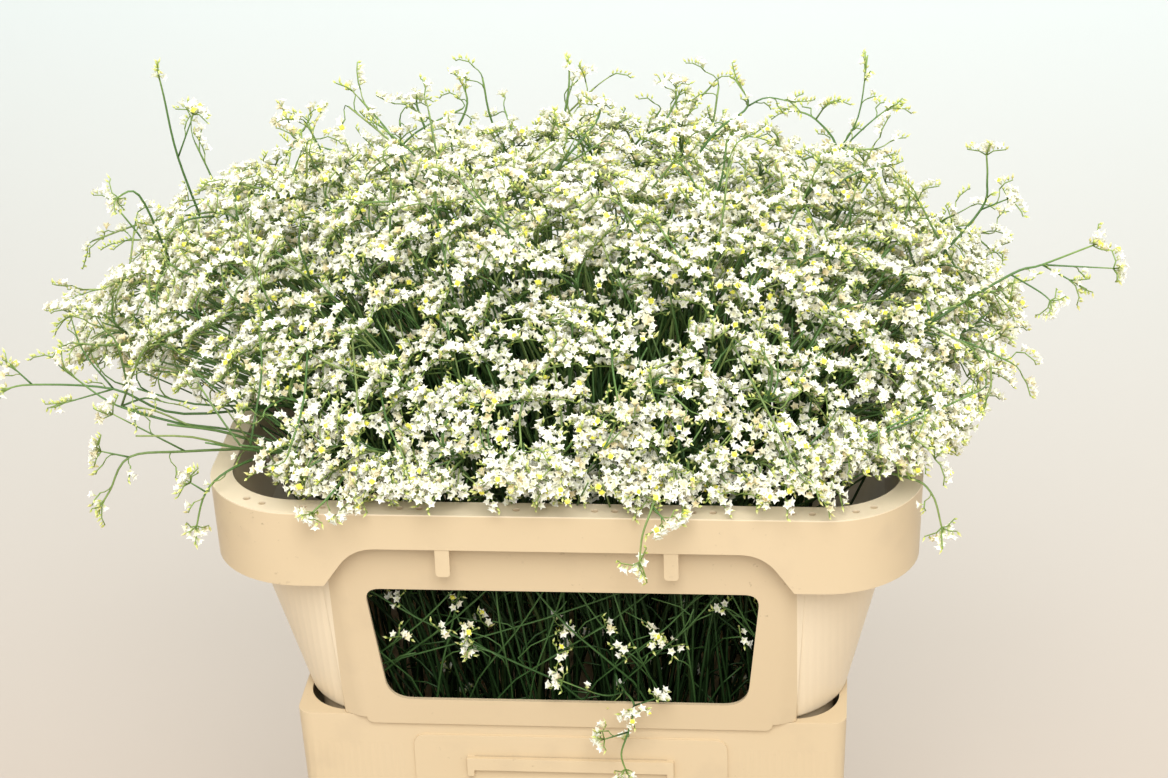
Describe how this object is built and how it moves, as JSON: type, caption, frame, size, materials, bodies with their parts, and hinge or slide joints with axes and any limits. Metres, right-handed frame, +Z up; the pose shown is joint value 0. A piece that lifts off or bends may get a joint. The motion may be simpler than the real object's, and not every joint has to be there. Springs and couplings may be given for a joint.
{
  "type": "dried statice",
  "caption": "Full bunch of dried statice with small white florets, standing in a tapered plastic flower bucket under a wider collar with windows.",
  "frame": {"origin": "middle of the bucket's flat underside, where it stands", "axes": "+Z up, -Y to the front face with the label panel and front window, +X to the viewer's right"},
  "size_m": [0.6264, 0.3432, 0.6321],
  "materials": {
    "container_plastic": "satin moulded, cream",
    "statice": "papery white florets on green stems"
  },
  "bodies": {
    "root": {"bucket": "container_plastic", "collar": "container_plastic", "spray_01": "statice", "spray_02": "statice", "spray_03": "statice", "spray_04": "statice", "spray_05": "statice", "spray_06": "statice", "spray_07": "statice", "spray_08": "statice", "spray_09": "statice", "spray_10": "statice", "spray_11": "statice", "spray_12": "statice", "spray_13": "statice", "spray_14": "statice", "spray_15": "statice", "spray_16": "statice", "spray_17": "statice", "spray_18": "statice", "spray_19": "statice", "spray_20": "statice", "spray_21": "statice", "spray_22": "statice", "spray_23": "statice", "spray_24": "statice", "spray_25": "statice", "spray_26": "statice", "spray_27": "statice", "spray_28": "statice", "spray_29": "statice", "spray_30": "statice", "spray_31": "statice", "spray_32": "statice", "spray_33": "statice", "spray_34": "statice", "window_spray": "statice"}
  },
  "joints": []
}
